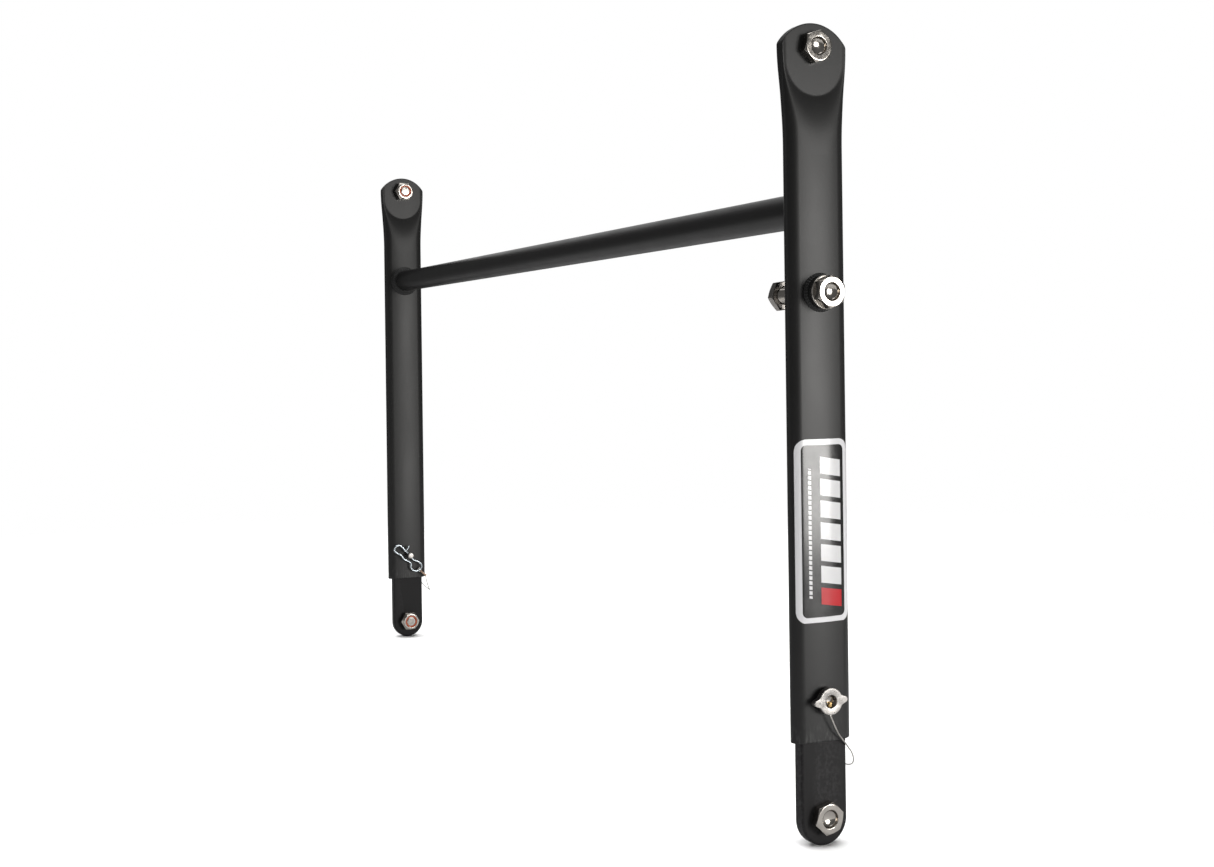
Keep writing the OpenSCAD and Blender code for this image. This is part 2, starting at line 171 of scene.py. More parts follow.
# Side stud
BUSH_R = size("side_stud_bush")[1] / 2
BUSH_X = high("side_stud_bush")[0] - LEG_X
WASHER_R = size("side_stud_washer")[1] / 2
STUD_SEAT_X = high("side_stud_washer")[0] - LEG_X
STUD_END_X = low("side_stud_bolt")[0] - LEG_X
THIN_NUT_H = size("side_stud_nut")[0]
THIN_NUT_X = high("side_stud_nut")[0] - LEG_X
THREAD_PITCH = 1.25
THREAD_DEPTH = 0.6
THREAD_LENGTH = 13.5

# Retaining pin, lanyard and clip
PIN_R = 4.76 / 2
PIN_TIP_X = low("right_pin")[0] - LEG_X
PIN_FACE_X = high("right_pin")[0] - LEG_X
PIN_HEAD_R = size("right_pin")[2] / 2
PIN_EAR = size("right_pin")[1] / 2 - PIN_HEAD_R
PIN_TURN = {LEFT: 38.3, RIGHT: 2.5}  # degrees of the ears from +Y towards +Z; the clip is square to them
PIN_HEAD_H = 2.8
PIN_SHOULDER_R = 4.6
PIN_RECESS_R, PIN_RECESS_DEEP = 2.85, 3.6
FERRULE = (middle("right_pin_ferrule") - [LEG_X, 0, PIN_Z])[0]
FERRULE_R = size("right_pin_ferrule")[1] / 2
FERRULE_HIGH_Z, FERRULE_LOW_Z = high("right_pin_ferrule")[2] - PIN_Z, low("right_pin_ferrule")[2] - PIN_Z
CLIP_X = middle("right_clip")[0] - LEG_X
CLIP_R = 1.3 / 2
LANYARD_R = 0.7 / 2
CRIMP_R = 0.85
EYE_RING_R, EYE_WIRE_R = 1.2, 0.3  # the cable's small eye round the clip's ring
CRIMP_FROM, CRIMP_TO = 1.3, 7.4
CRIMP_TURN = {LEFT: np.radians(-42), RIGHT: np.radians(-78)}

# The clip's centre line in its own plane: straight leg, lanyard's ring, back past the pin, far loop, hook
CLIP_LINE = [
    (3.6, 0), (0.4, 0), (-2.8, 0), (-5.6, -0.5), (-9.4, -2.5), (-13, -2.2), (-14.2, 1.2), (-12.4, 4.6),
    (-8.6, 5.4), (-5.4, 3.1), (-2.6, 3.9), (0.6, 5.2), (4.8, 5.2), (8.6, 6.7), (11.4, 6.8), (12.9, 4.1),
    (11.4, 1.2), (8, 0.4), (5, 0.5), (5.3, -1.8), (6, -4),
]
CLIP_RING_END = (-14.2, 1.2)

# Two places along the cable, between the pin and the clip; build_pin places them on the leg and uses them no
# further
STRETCH_FROM, STRETCH_TO = (5, 0, -20), (-7.5, 0, -20)

# The path of each lanyard: from the pin's head round the leg's edge, and back behind it to the crimp sleeve
LOOP = {
    LEFT: [(8, 1, -8.5), (7.5, 4, -13.5), (6.5, 8.5, -18), (4.5, 12.5, -22.5), (1, 16, -27),
           (-2.5, 18, -29), (-6, 17, -28.5), (-8, 14.5, -23.5)],
    RIGHT: [(8, 1, -8), (7, 5, -15), (4, 11, -21), (0, 17, -27), (-4, 20, -32),
            (-7, 19, -33.5), (-8.5, 14, -31), (-8.5, 8, -26.5), (-8.5, 3, -23.5)],
}


# ---- Shapes ----------------------------------------------------------------
class Shape:
    """Points in millimetres, faces as point numbers, and values per point that materials can read."""

    def __init__(self, points, faces, **values):
        self.points, self.faces, self.values = np.asarray(points, float), faces, values

    def moved(self, offset):
        return Shape(self.points + offset, self.faces, **self.values)

    def turned(self, matrix):
        return Shape(self.points @ np.asarray(matrix, float).T, self.faces, **self.values)

    def mirrored(self):
        """The same shape with X reversed, still facing outwards."""
        return Shape(self.points * [-1, 1, 1], [f[::-1] for f in self.faces], **self.values)


def loft(rings, closed=False, caps=False, **values):
    """A skin over rings that each hold the same number of points."""
    rings = [np.asarray(r, float) for r in rings]
    count = len(rings[0])
    faces = []
    for i in range(len(rings) - (0 if closed else 1)):
        a, b = i * count, (i + 1) % len(rings) * count
        faces += [(a + k, a + (k + 1) % count, b + (k + 1) % count, b + k) for k in range(count)]
    if caps:
        last = (len(rings) - 1) * count
        faces += [tuple(range(count))[::-1], tuple(range(last, last + count))]
    return Shape(np.concatenate(rings), faces, **values)


def soften(corners, count, closed, steps=3):
    """The rings of a profile. A corner is (radius, x, cut), rounded off from cut before it to cut after."""
    spots = [np.stack(np.broadcast_arrays(r, x, np.zeros(count))[:2]).astype(float) for r, x, _ in corners]
    rings = []
    for i, here in enumerate(spots):
        cut = corners[i][2]
        if not cut or (not closed and i in (0, len(spots) - 1)):
            rings.append(here)
            continue
        ends = []
        for other in (spots[i - 1], spots[(i + 1) % len(spots)]):
            way = other - here
            length = np.maximum(np.hypot(*way), 1e-6)
            ends.append(here + way / length * np.minimum(cut, 0.45 * length))
        for t in np.linspace(0, 1, steps + 1):
            rings.append((1 - t) ** 2 * ends[0] + 2 * t * (1 - t) * here + t**2 * ends[1])
    return rings


def revolve(corners, turn, closed=False):
    """A solid about the X axis. Its profile runs towards +X on the outside, and turn holds the angles."""
    profile = soften(corners, len(turn), closed)
    rings = [np.stack([x, r * np.sin(turn), -r * np.cos(turn)], 1) for r, x in profile]
    steps = [0] + [np.hypot(*(b - a)).mean() for a, b in zip(profile, profile[1:])]
    return loft(rings, closed, reach=np.repeat(np.cumsum(steps), len(turn)))


def circle(count=64):
    return np.arange(count) * TWO_PI / count


def hexagon(turn_degrees, flat_steps=7):
    """Angles and radii around a hexagon with slightly rounded corners, one of them at turn_degrees."""
    arcs = []
    for k in range(6):
        aim = np.radians(turn_degrees + 60 * k)
        centre = (HEX_AF / 2 - HEX_CORNER) / np.cos(np.pi / 6) * np.array([np.cos(aim), np.sin(aim)])
        bend = aim + np.linspace(-np.pi / 6, np.pi / 6, 4)
        arcs.append(centre + HEX_CORNER * np.stack([np.cos(bend), np.sin(bend)], 1))
    points = []
    for k, arc in enumerate(arcs):
        start, end = arc[-1], arcs[(k + 1) % 6][0]
        points += list(arc) + [start + (end - start) * t for t in np.linspace(0, 1, flat_steps + 2)[1:-1]]
    x, y = np.array(points).T
    return np.arctan2(y, x), np.hypot(x, y)


def smooth_line(points, steps):
    """A smooth curve through all the points."""
    p = np.array([points[0], *points, points[-1]], float)
    t = np.arange(steps)[:, None] / steps
    spans = [
        0.5 * (2 * b + t * (c - a) + t**2 * (2 * a - 5 * b + 4 * c - d) + t**3 * (3 * b - a - 3 * c + d))
        for a, b, c, d in zip(p, p[1:], p[2:], p[3:])
    ]
    return np.concatenate([*spans, [p[-1]]])


def evenly(line, spacing):
    """The same line with its points at an even spacing."""
    along = np.concatenate([[0], np.cumsum(np.linalg.norm(np.diff(line, axis=0), axis=1))])
    wanted = np.linspace(0, along[-1], int(along[-1] / spacing) + 2)
    return np.stack([np.interp(wanted, along, line[:, k]) for k in range(3)], 1)


def wire(line, radius, sides=14, lobes=0, lay=5.0, depth=0.12):
    """A round wire along a line, with rounded ends, or a rope whose strands wind once round in lay."""
    ways = np.gradient(line, axis=0)
    ways /= np.linalg.norm(ways, axis=1)[:, None]
    along = np.concatenate([[0], np.cumsum(np.linalg.norm(np.diff(line, axis=0), axis=1))])
    side = np.cross(ways[0], [0.3, 0.5, 0.8])
    turn = circle(sides)
    rings, reach = [], []

    def add(centre, way, scale, at):
        other = np.cross(way, side)
        grow = 1 - depth * np.abs(np.sin((turn * lobes - TWO_PI * lobes * at / lay) / 2)) if lobes else 1
        spread = (radius * scale * grow * np.array([np.cos(turn), np.sin(turn)])).T
        rings.append(centre + spread @ np.array([side, other]))
        reach.extend([at] * sides)

    for i, (point, way) in enumerate(zip(line, ways)):
        side = side - (side @ way) * way
        side /= np.linalg.norm(side)
        if i == 0:
            for b in np.radians([90, 60, 30]):
                add(point - way * radius * np.sin(b), way, np.cos(b), 0)
        add(point, way, 1, along[i])
        if i == len(line) - 1:
            for b in np.radians([30, 60, 90]):
                add(point + way * radius * np.sin(b), way, np.cos(b), along[i])
    return loft(rings, reach=np.array(reach))


def smoothstep(a, b, x):
    t = np.clip((x - a) / (b - a), 0, 1)
    return t * t * (3 - 2 * t)


def soft_min(a, b, blend):
    """The lower of two values, rounded over where they meet."""
    return np.minimum(a, b) - np.maximum(blend - np.abs(a - b), 0) ** 2 / (4 * blend)


# ---- Materials -------------------------------------------------------------
class Paint:
    """A material with a Principled shader, and one short call for each node."""

    def __init__(self, name):
        self.material = bpy.data.materials.new(name)
        self.material.use_nodes = True
        self.tree = self.material.node_tree
        self.shader = self.tree.nodes["Principled BSDF"]
        self.place = self.node("TexCoord").outputs["Object"]

    def node(self, kind, inputs=None, **settings):
        made = self.tree.nodes.new("ShaderNode" + kind)
        for key, value in settings.items():
            setattr(made, key, value)
        for key, value in (inputs or {}).items():
            self.put(made.inputs[key], value)
        return made

    def put(self, socket, value):
        if isinstance(value, bpy.types.NodeSocket):
            self.tree.links.new(value, socket)
        else:
            socket.default_value = value

    def set(self, **inputs):
        """Sets the shader's inputs; an underscore stands for a space in their names."""
        for key, value in inputs.items():
            self.put(self.shader.inputs[key.replace("_", " ")], value)

    def maths(self, operation, a, b=0.0, clamp=False):
        return self.node("Math", {0: a, 1: b}, operation=operation, use_clamp=clamp).outputs[0]

    def value(self, name):
        """A value that the mesh holds per point."""
        return self.node("Attribute", attribute_name=name).outputs["Fac"]

    def noise(self, scale_mm, detail=3.0, stretch=(1, 1, 1)):
        """Noise whose features are about scale_mm across, longer by stretch."""
        scale = [1 / (scale_mm * MM * s) for s in stretch]
        spot = self.node("Mapping", {"Vector": self.place, "Scale": scale}, vector_type="POINT").outputs[0]
        return self.node("TexNoise", {"Vector": spot, "Scale": 1.0, "Detail": detail}).outputs["Fac"]

    def rings(self, scale_mm, detail=2.0):
        """Lathe marks: noise along the outline that a turned piece was drawn from."""
        made = self.node("TexNoise", {"W": self.value("reach"), "Scale": 1 / scale_mm, "Detail": detail},
                         noise_dimensions="1D")
        return made.outputs["Fac"]

    def spread(self, fac, low_value, high_value, start=0.3, end=0.7):
        """Takes fac from start to end onto low_value to high_value."""
        return self.node("MapRange", {"Value": fac, "From Min": start, "From Max": end, "To Min": low_value,
                                      "To Max": high_value}).outputs[0]

    def mix(self, fac, a, b):
        made = self.node("Mix", data_type="RGBA")
        self.put(made.inputs[0], fac)
        self.put(made.inputs[6], a)
        self.put(made.inputs[7], b)
        return made.outputs[2]

    def bump(self, height, distance_mm, strength=1.0, below=None):
        inputs = {"Height": height, "Distance": distance_mm * MM, "Strength": strength}
        if below is not None:
            inputs["Normal"] = below
        return self.node("Bump", inputs).outputs[0]


def rgb(red, green, blue):
    return (red, green, blue, 1)


def powder_coat():
    """Satin black powder coat: orange peel, a finer grain, soft dust, and edges where it has worn thin."""
    paint = Paint("black_tube")
    peel, grain, cloud = paint.noise(1.4, 2), paint.noise(0.25, 3), paint.noise(28, 4, (1, 1, 3))
    scuffs = paint.spread(paint.noise(1.2, 6, (1, 1, 4)), 0, 1, 0.5, 0.72)
    worn = paint.maths("MULTIPLY", paint.value("wear"), scuffs)
    coat = paint.mix(cloud, rgb(0.0105, 0.0104, 0.0105), rgb(0.0145, 0.0143, 0.014))
    coat = paint.mix(paint.maths("MULTIPLY", worn, 0.5), coat, rgb(0.10, 0.10, 0.098))
    rough = paint.maths("ADD", paint.spread(cloud, 0.36, 0.43), paint.spread(grain, -0.02, 0.03))
    fine = paint.bump(grain, 0.006, 0.35)
    paint.set(Base_Color=coat, Roughness=rough, Specular_IOR_Level=0.42,
              Normal=paint.bump(peel, 0.02, 0.3, fine))
    return paint.material


def bar_coat():
    """Flat black finish of the bars: blasted grain, faint drawing lines and bared edges."""
    paint = Paint("black_bar")
    grain, lines, cloud = paint.noise(0.22, 4), paint.noise(0.5, 3, (1, 1, 40)), paint.noise(20, 4)
    scuffs = paint.spread(paint.noise(1.6, 6), 0.25, 1, 0.42, 0.66)
    worn = paint.maths("MULTIPLY", paint.value("wear"), scuffs)
    coat = paint.mix(cloud, rgb(0.0072, 0.0066, 0.0073), rgb(0.0092, 0.0086, 0.0094))
    coat = paint.mix(paint.maths("MULTIPLY", worn, 0.4), coat, rgb(0.09, 0.087, 0.09))
    rough = paint.maths("ADD", paint.spread(lines, 0.5, 0.56), paint.spread(grain, -0.02, 0.03))
    fine = paint.bump(lines, 0.004, 0.3)
    paint.set(Base_Color=coat, Roughness=rough, Specular_IOR_Level=0.25,
              Normal=paint.bump(grain, 0.01, 0.3, fine))
    return paint.material


def polished(name, tint, roughness, marks_mm=0.16):
    """Turned and polished metal: lathe rings, fine scratches and a faint handling haze."""
    paint = Paint(name)
    rings, haze = paint.rings(marks_mm), paint.noise(2.6, 4)
    scratches = paint.noise(0.12, 4, (1, 7, 1))
    hazy = paint.spread(haze, roughness, roughness + 0.09)
    rough = paint.maths("ADD", hazy, paint.spread(rings, -0.02, 0.03))
    dark = tuple(0.86 * c for c in tint)
    paint.set(Base_Color=paint.mix(paint.spread(haze, 0, 1), rgb(*dark), rgb(*tint)), Metallic=1.0,
              Roughness=rough,
              Normal=paint.bump(rings, 0.006, 0.25, paint.bump(scratches, 0.003, 0.2)))
    return paint.material


def pin_metal():
    """Satin grey metal of the eared pins: a blasted, slightly pitted surface."""
    paint = Paint("pin_metal")
    grain, pits, haze = paint.noise(0.28, 4), paint.noise(0.8, 3), paint.noise(3, 3)
    colour = paint.mix(paint.spread(pits, 0, 1), rgb(0.36, 0.345, 0.33), rgb(0.5, 0.48, 0.46))
    paint.set(Base_Color=colour, Metallic=1.0, Roughness=paint.spread(haze, 0.24, 0.36),
              Normal=paint.bump(grain, 0.05, 0.4, paint.bump(pits, 0.05, 0.25)))
    return paint.material


def nylon():
    """Orange-red nylon, slightly see-through, with faint moulding waves."""
    paint = Paint("nylon_ring")
    waves = paint.noise(0.7, 3)
    colour = paint.mix(waves, rgb(0.56, 0.085, 0.022), rgb(0.74, 0.145, 0.045))
    paint.set(Base_Color=colour, Roughness=paint.spread(waves, 0.36, 0.5), Subsurface_Weight=0.15,
              Subsurface_Scale=0.0006, Normal=paint.bump(waves, 0.03, 0.3))
    return paint.material


def drawn_wire(name, tint, roughness, lines_mm=0.09):
    """Drawn wire: fine lines along its length and a plating that clouds a little."""
    paint = Paint(name)
    lines, cloud = paint.noise(lines_mm, 3, (1, 6, 6)), paint.noise(1.8, 4)
    dark = tuple(0.72 * c for c in tint)
    paint.set(Base_Color=paint.mix(paint.spread(cloud, 0, 1), rgb(*dark), rgb(*tint)), Metallic=1.0,
              Roughness=paint.spread(cloud, roughness, roughness + 0.12),
              Normal=paint.bump(lines, 0.006, 0.3))
    return paint.material


LABEL_W, LABEL_H = 27, size("leg_label")[2]
LABEL_CORNER = 5
LABEL_BORDER = 2.6
LABEL_LIFT = 0.02, 0.16  # its two faces above the tube
BAR_COUNT, BAR_PITCH, BAR_GAP, BAR_SLANT = 6, 9.6, 2.2, 0.16
BARS_LEFT, BARS_RIGHT, BARS_LOW = -1.6, 9.2, -24
DASH_LEFT, DASH_W, DASH_PITCH = -7.6, 1.5, 2.2


def between(paint, value, start, end, soft=0.06):
    """1 where value lies from start to end, else 0, with a soft edge."""
    rise = paint.spread(value, 0, 1, start - soft, start + soft)
    fall = paint.spread(value, 1, 0, end - soft, end + soft)
    return paint.maths("MULTIPLY", rise, fall)


def label_print():
    """Glossy label: a white border round a black panel, with plain slanted bars in place of any lettering."""
    paint = Paint("label_print")
    across, up = paint.value("across"), paint.value("up")
    corner = LABEL_CORNER - LABEL_BORDER
    spot = paint.node("CombineXYZ", {"X": across, "Y": up}).outputs[0]
    reach = paint.node("VectorMath", {0: spot}, operation="ABSOLUTE").outputs[0]
    inner = (LABEL_W / 2 - LABEL_BORDER - corner, LABEL_H / 2 - LABEL_BORDER - corner, 0)
    outside = paint.node("VectorMath", {0: reach, 1: inner}, operation="SUBTRACT").outputs[0]
    outside = paint.node("VectorMath", {0: outside, 1: (0, 0, 0)}, operation="MAXIMUM").outputs[0]
    distance = paint.node("VectorMath", {0: outside}, operation="LENGTH").outputs["Value"]
    border = paint.spread(distance, 0, 1, corner - 0.08, corner + 0.08)
    slanted = paint.maths("ADD", up, paint.maths("MULTIPLY", across, BAR_SLANT))
    row = between(paint, across, BARS_LEFT, BARS_RIGHT)
    phase = paint.maths("FLOORED_MODULO", paint.maths("ADD", slanted, 20 * BAR_PITCH - BARS_LOW), BAR_PITCH)
    block = between(paint, phase, 0.5 * BAR_GAP, BAR_PITCH - 0.5 * BAR_GAP)
    bars = paint.maths("MULTIPLY", block, between(paint, slanted, BARS_LOW, BARS_LOW + BAR_COUNT * BAR_PITCH))
    bars = paint.maths("MULTIPLY", bars, row)
    accent = paint.maths("MULTIPLY", block, between(paint, slanted, BARS_LOW - BAR_PITCH, BARS_LOW))
    accent = paint.maths("MULTIPLY", accent, row)
    dash = paint.maths("FLOORED_MODULO", paint.maths("ADD", slanted, 300.0), DASH_PITCH)
    line = paint.maths("MULTIPLY", between(paint, across, DASH_LEFT, DASH_LEFT + DASH_W),
                       between(paint, slanted, -LABEL_H / 2 + 10, LABEL_H / 2 - 14))
    line = paint.maths("MULTIPLY", line, between(paint, dash, 0.25 * DASH_PITCH, DASH_PITCH))
    ink = paint.noise(0.5, 2)
    colour = paint.mix(ink, rgb(0.006, 0.006, 0.006), rgb(0.01, 0.01, 0.01))
    colour = paint.mix(paint.maths("MAXIMUM", bars, line), colour, rgb(0.86, 0.86, 0.87))
    colour = paint.mix(accent, colour, rgb(0.62, 0.012, 0.02))
    colour = paint.mix(border, colour, rgb(0.9, 0.9, 0.92))
    film = paint.noise(6, 3)
    paint.set(Base_Color=colour, Roughness=paint.spread(film, 0.17, 0.25), Coat_Weight=0.4,
              Coat_Roughness=0.1, Normal=paint.bump(film, 0.02, 0.15))
    return paint.material


MATERIALS = {
    "black_tube": powder_coat(),
    "black_bar": bar_coat(),
    "bright_hardware": polished("bright_hardware", (0.62, 0.585, 0.54), 0.10),
    # A darker copy of the polished metal: painted shade for the side stud's nut, which sits in shadow
    "shaded_hardware": polished("shaded_hardware", (0.36, 0.34, 0.32), 0.14),
    "pin_metal": pin_metal(),
    "nylon_ring": nylon(),
    "brass": polished("brass", (0.80, 0.55, 0.24), 0.22, 0.12),
    "crimp": drawn_wire("crimp", (0.62, 0.44, 0.33), 0.34),
    "lanyard_wire": drawn_wire("lanyard_wire", (0.72, 0.69, 0.65), 0.28),
    "spring_wire": drawn_wire("spring_wire", (0.74, 0.81, 0.86), 0.16),
    "label_print": label_print(),
}


# ---- Building pieces -------------------------------------------------------
SHARP_ANGLE = np.radians(38)
WELD_MM = 0.0005


def new_mesh(name, shape):
    """A mesh in metres, with points that coincide joined and its values as attributes."""
    mesh = bpy.data.meshes.new(name)
    mesh.from_pydata((shape.points * MM).tolist(), [], shape.faces)
    for key, values in shape.values.items():
        mesh.attributes.new(key, "FLOAT", "POINT").data.foreach_set("value", values.astype(np.float32))
    work = bmesh.new()
    work.from_mesh(mesh)
    bmesh.ops.remove_doubles(work, verts=work.verts, dist=WELD_MM * MM)
    bmesh.ops.dissolve_degenerate(work, edges=work.edges, dist=WELD_MM * MM)
    work.to_mesh(mesh)
    work.free()
    mesh.update()
    return mesh


def placed(shape, side, z):
    """The shape at its height on one leg."""
    shape = shape.moved([LEG_X, 0, z])
    return shape if side == RIGHT else shape.mirrored()


def finish_mesh(obj):
    """Smooth shading with sharp edges kept."""
    mesh = obj.data
    mesh.polygons.foreach_set("use_smooth", [True] * len(mesh.polygons))
    mesh.set_sharp_from_angle(angle=SHARP_ANGLE)
    normals = obj.modifiers.new("Normals", "WEIGHTED_NORMAL")
    normals.keep_sharp = True


def build(name, shape, slot, body, nodes=(), material=None, cutters=()):
    """One piece: its mesh, its holes, its material, its body and the CAD nodes that it stands for."""
    obj = bpy.data.objects.new(name, new_mesh(name, shape))
    bpy.context.scene.collection.objects.link(obj)
    for cutter in cutters:
        cut(obj, cutter)
    obj.data.materials.clear()
    obj.data.materials.append(MATERIALS[material or slot])
    finish_mesh(obj)
    if body:
        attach(obj, body)
    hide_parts(*nodes)
    return obj


def build_node(node, shape, slot, body, **more):
    """The piece that stands for one CAD node."""
    return build(f"{node}_mesh", shape, slot, body, [node], **more)


def cut(obj, shape):
    """Takes a shape out of a piece."""
    tool = bpy.data.objects.new("cutter", new_mesh("cutter", shape))
    bpy.context.scene.collection.objects.link(tool)
    change = obj.modifiers.new("Cut", "BOOLEAN")
    change.operation, change.object, change.solver = "DIFFERENCE", tool, "EXACT"
    bpy.context.view_layer.update()
    graph = bpy.context.evaluated_depsgraph_get()
    obj.data = bpy.data.meshes.new_from_object(obj.evaluated_get(graph), depsgraph=graph)
    obj.modifiers.clear()
    bpy.data.objects.remove(tool)


def hole(radius, half_depth, z=0.0, countersink=0.0):
    """A round hole along X, wider by countersink at both faces."""
    out = half_depth + 5
    corners = [(0, -out, 0), (radius + countersink, -out, 0), (radius + countersink, -half_depth, 0),
               (radius, countersink - half_depth, 0), (radius, half_depth - countersink, 0),
               (radius + countersink, half_depth, 0), (radius + countersink, out, 0), (0, out, 0)]
    return revolve(corners, circle(48)).moved([0, 0, z])


# ---- Leg tubes -------------------------------------------------------------
ROUND_STEPS = 10
FLAT_STEPS = 24


def edge_line():
    """The leg's right-hand edge from foot to top: (y, z, height of the row's middle, edge radius)."""
    rows = []
    corner_y = EYE_W / 2 - EYE_CORNER_R
    arc_z = TUBE_HIGH_Z - EYE_ARC_R
    corner_z = arc_z + np.sqrt((EYE_ARC_R - EYE_CORNER_R) ** 2 - corner_y**2)
    lean = np.arctan2(corner_z - arc_z, corner_y)
    plain = np.linspace(TUBE_LOW_Z + 0.6, FLARE_LOW_Z - 4, 26)
    heights = np.concatenate([plain, np.arange(FLARE_LOW_Z - 3, corner_z, 0.5)])
    for z in heights:
        y = TUBE_W / 2 + (EYE_W - TUBE_W) / 2 * smoothstep(FLARE_LOW_Z, FLARE_HIGH_Z, z)
        rows.append((y, z, min(z, TOP_Z), edge_radius(z)))
    for a in np.linspace(0, lean, 9)[:-1]:
        y, z = corner_y + EYE_CORNER_R * np.cos(a), corner_z + EYE_CORNER_R * np.sin(a)
        rows.append((y, z, TOP_Z, edge_radius(corner_z)))
    for a in np.linspace(lean, np.pi / 2, 26):
        rows.append((EYE_ARC_R * np.cos(a), arc_z + EYE_ARC_R * np.sin(a), TOP_Z, edge_radius(corner_z)))
    return rows


def sheet(z):
    """Half thickness of the tube beside the pressed pad."""
    return TUBE_FACE + (EYE_SHEET - TUBE_FACE) * smoothstep(CRUSH_LOW_Z, CRUSH_HIGH_Z, z)


def edge_radius(z):
    """Radius of the tube's long edges: a full round low down, and a cut sheet's edge at the top."""
    return (sheet(z) - 0.12) * (1 - 0.72 * smoothstep(TOP_Z - 22, TOP_Z + 1, z))


def pressed(y, z):
    """Half thickness that the round punch leaves: the flat pad, and the long ramp that runs out of it."""
    below = np.hypot(y, np.minimum(z - PAD_Z, 0)) - PAD_R
    reach = np.clip(below / PUNCH_FADE, 0, 1)
    ramp = (TUBE_FACE + 0.1 - EYE_FACE) * (1 - (1 - reach) ** PUNCH_CURVE)
    return EYE_FACE + ramp + np.maximum(below - PUNCH_FADE, 0)


def crowned(y, z):
    """Share of the tube's thickness left at y: all of it on the middle line, less towards the sides."""
    return 1 - CROWN * (1 - smoothstep(CRUSH_LOW_Z, CRUSH_HIGH_Z, z)) * (y / (TUBE_W / 2)) ** 2


def face_x(y):
    """Outboard surface of the plain tube at y."""
    inward = np.minimum(TUBE_W / 2 - np.abs(y), TUBE_FACE)
    return np.sqrt(np.maximum(TUBE_FACE**2 - (TUBE_FACE - inward) ** 2, 0)) * crowned(y, TUBE_LOW_Z)


def leg_row(y_edge, z_edge, z_middle, radius):
    """Points of one row on the outboard face, from the right-hand edge to the leg's middle line."""
    edge, mid = np.array([y_edge, z_edge]), np.array([0, z_middle])
    length = np.linalg.norm(mid - edge)
    bend = np.linspace(0, np.pi / 2, ROUND_STEPS)
    inward = np.concatenate([radius * (1 - np.cos(bend)), np.linspace(radius, length, FLAT_STEPS + 1)[1:]])
    y, z = (edge + (mid - edge) * (inward / length)[:, None]).T
    thick = sheet(z) - radius + np.sqrt(np.maximum(radius**2 - (radius - np.minimum(inward, radius)) ** 2, 0))
    return soft_min(thick * crowned(y, z), pressed(y, z), PRESS_BLEND), y, z


def leg_ring(x, y, z):
    """A ring round the leg from half a row: outboard face from -Y to +Y, then back along the inboard face."""
    front = np.stack([np.r_[x, x[-2::-1]], np.r_[-y, y[-2::-1]], np.r_[z, z[-2::-1]]], 1)
    return np.concatenate([front, (front * [-1, 1, 1])[::-1]])


def bore_ring(z, grow=0.0, squeeze=1.0):
    """A ring of the tube's bore at height z, wider by grow and thinner by squeeze."""
    half_w, half_t = TUBE_W / 2 - TUBE_WALL + grow, (TUBE_FACE - TUBE_WALL + grow)
    bend = np.linspace(0, np.pi / 2, ROUND_STEPS)
    inward = np.concatenate([half_t * (1 - np.cos(bend)), np.linspace(half_t, half_w, FLAT_STEPS + 1)[1:]])
    x = np.sqrt(np.maximum(half_t**2 - (half_t - np.minimum(inward, half_t)) ** 2, 0)) * squeeze
    return leg_ring(x, half_w - inward, np.full(len(inward), z))


def leg_tube():
    """The bore from its closed end down to the rim, then the outside up to the crushed eye."""
    rings = [bore_ring(BORE_END_Z, -2.0, 0.0), bore_ring(CRUSH_LOW_Z, 0, 1)]
    rings += [bore_ring(z) for z in np.linspace(CRUSH_LOW_Z - 20, TUBE_LOW_Z + RIM_R, 10)]
    rings += [bore_ring(TUBE_LOW_Z + RIM_R * (1 - np.sin(a)), RIM_R * (1 - np.cos(a)))
              for a in np.radians([30, 60, 90])]
    for a in np.radians([90, 60, 30]):
        x, y, _ = leg_row(TUBE_W / 2, TUBE_LOW_Z, TUBE_LOW_Z, edge_radius(TUBE_LOW_Z))
        inset = RIM_R * (1 - np.cos(a))
        z = TUBE_LOW_Z + RIM_R * (1 - np.sin(a))
        rings.append(leg_ring(x * (1 - inset / TUBE_FACE), y * (1 - 2 * inset / TUBE_W), np.full(len(x), z)))
    wear = [0.0] * (len(rings) - 6) + [1.0] * 6
    for row in edge_line():
        rings.append(leg_ring(*leg_row(*row)))
        wear.append(float(smoothstep(TUBE_LOW_Z + 4, TUBE_LOW_Z, row[1])))
    return loft(rings, wear=np.repeat(wear, len(rings[0])))


def build_leg(side):
    name = SIDE_NAMES[side]
    cutters = [hole(BOLT_HOLE_R, EYE_FACE, TOP_Z, 0.2), hole(PIN_R + 0.06, TUBE_FACE, PIN_Z, 0.1)]
    if side == RIGHT:
        cutters.append(hole(BUSH_R + 0.02, TUBE_FACE, STUD_Z))
    cutters = [placed(c, side, 0) for c in cutters]
    build_node(f"{name}_leg_tube", placed(leg_tube(), side, 0), "black_tube", "frame", cutters=cutters)


# ---- Crossbar and welds ----------------------------------------------------
CROSSBAR_WALL = 1.65


def build_crossbar():
    half = size("crossbar_tube")[0] / 2
    radius = size("crossbar_tube")[1] / 2
    bore = radius - CROSSBAR_WALL
    corners = [(bore, half, 0), (bore, -half, 0), (radius, -half, 0.3), (radius, half, 0.3)]
    shape = revolve(corners, circle(96), closed=True)
    shape.values = {"wear": np.zeros(len(shape.points))}
    build_node("crossbar_tube", shape.moved([0, 0, CROSSBAR_Z]), "black_tube", "frame")


WELD_ROOT = 0.8  # a bead starts this far below the face, which falls away from it at the sides


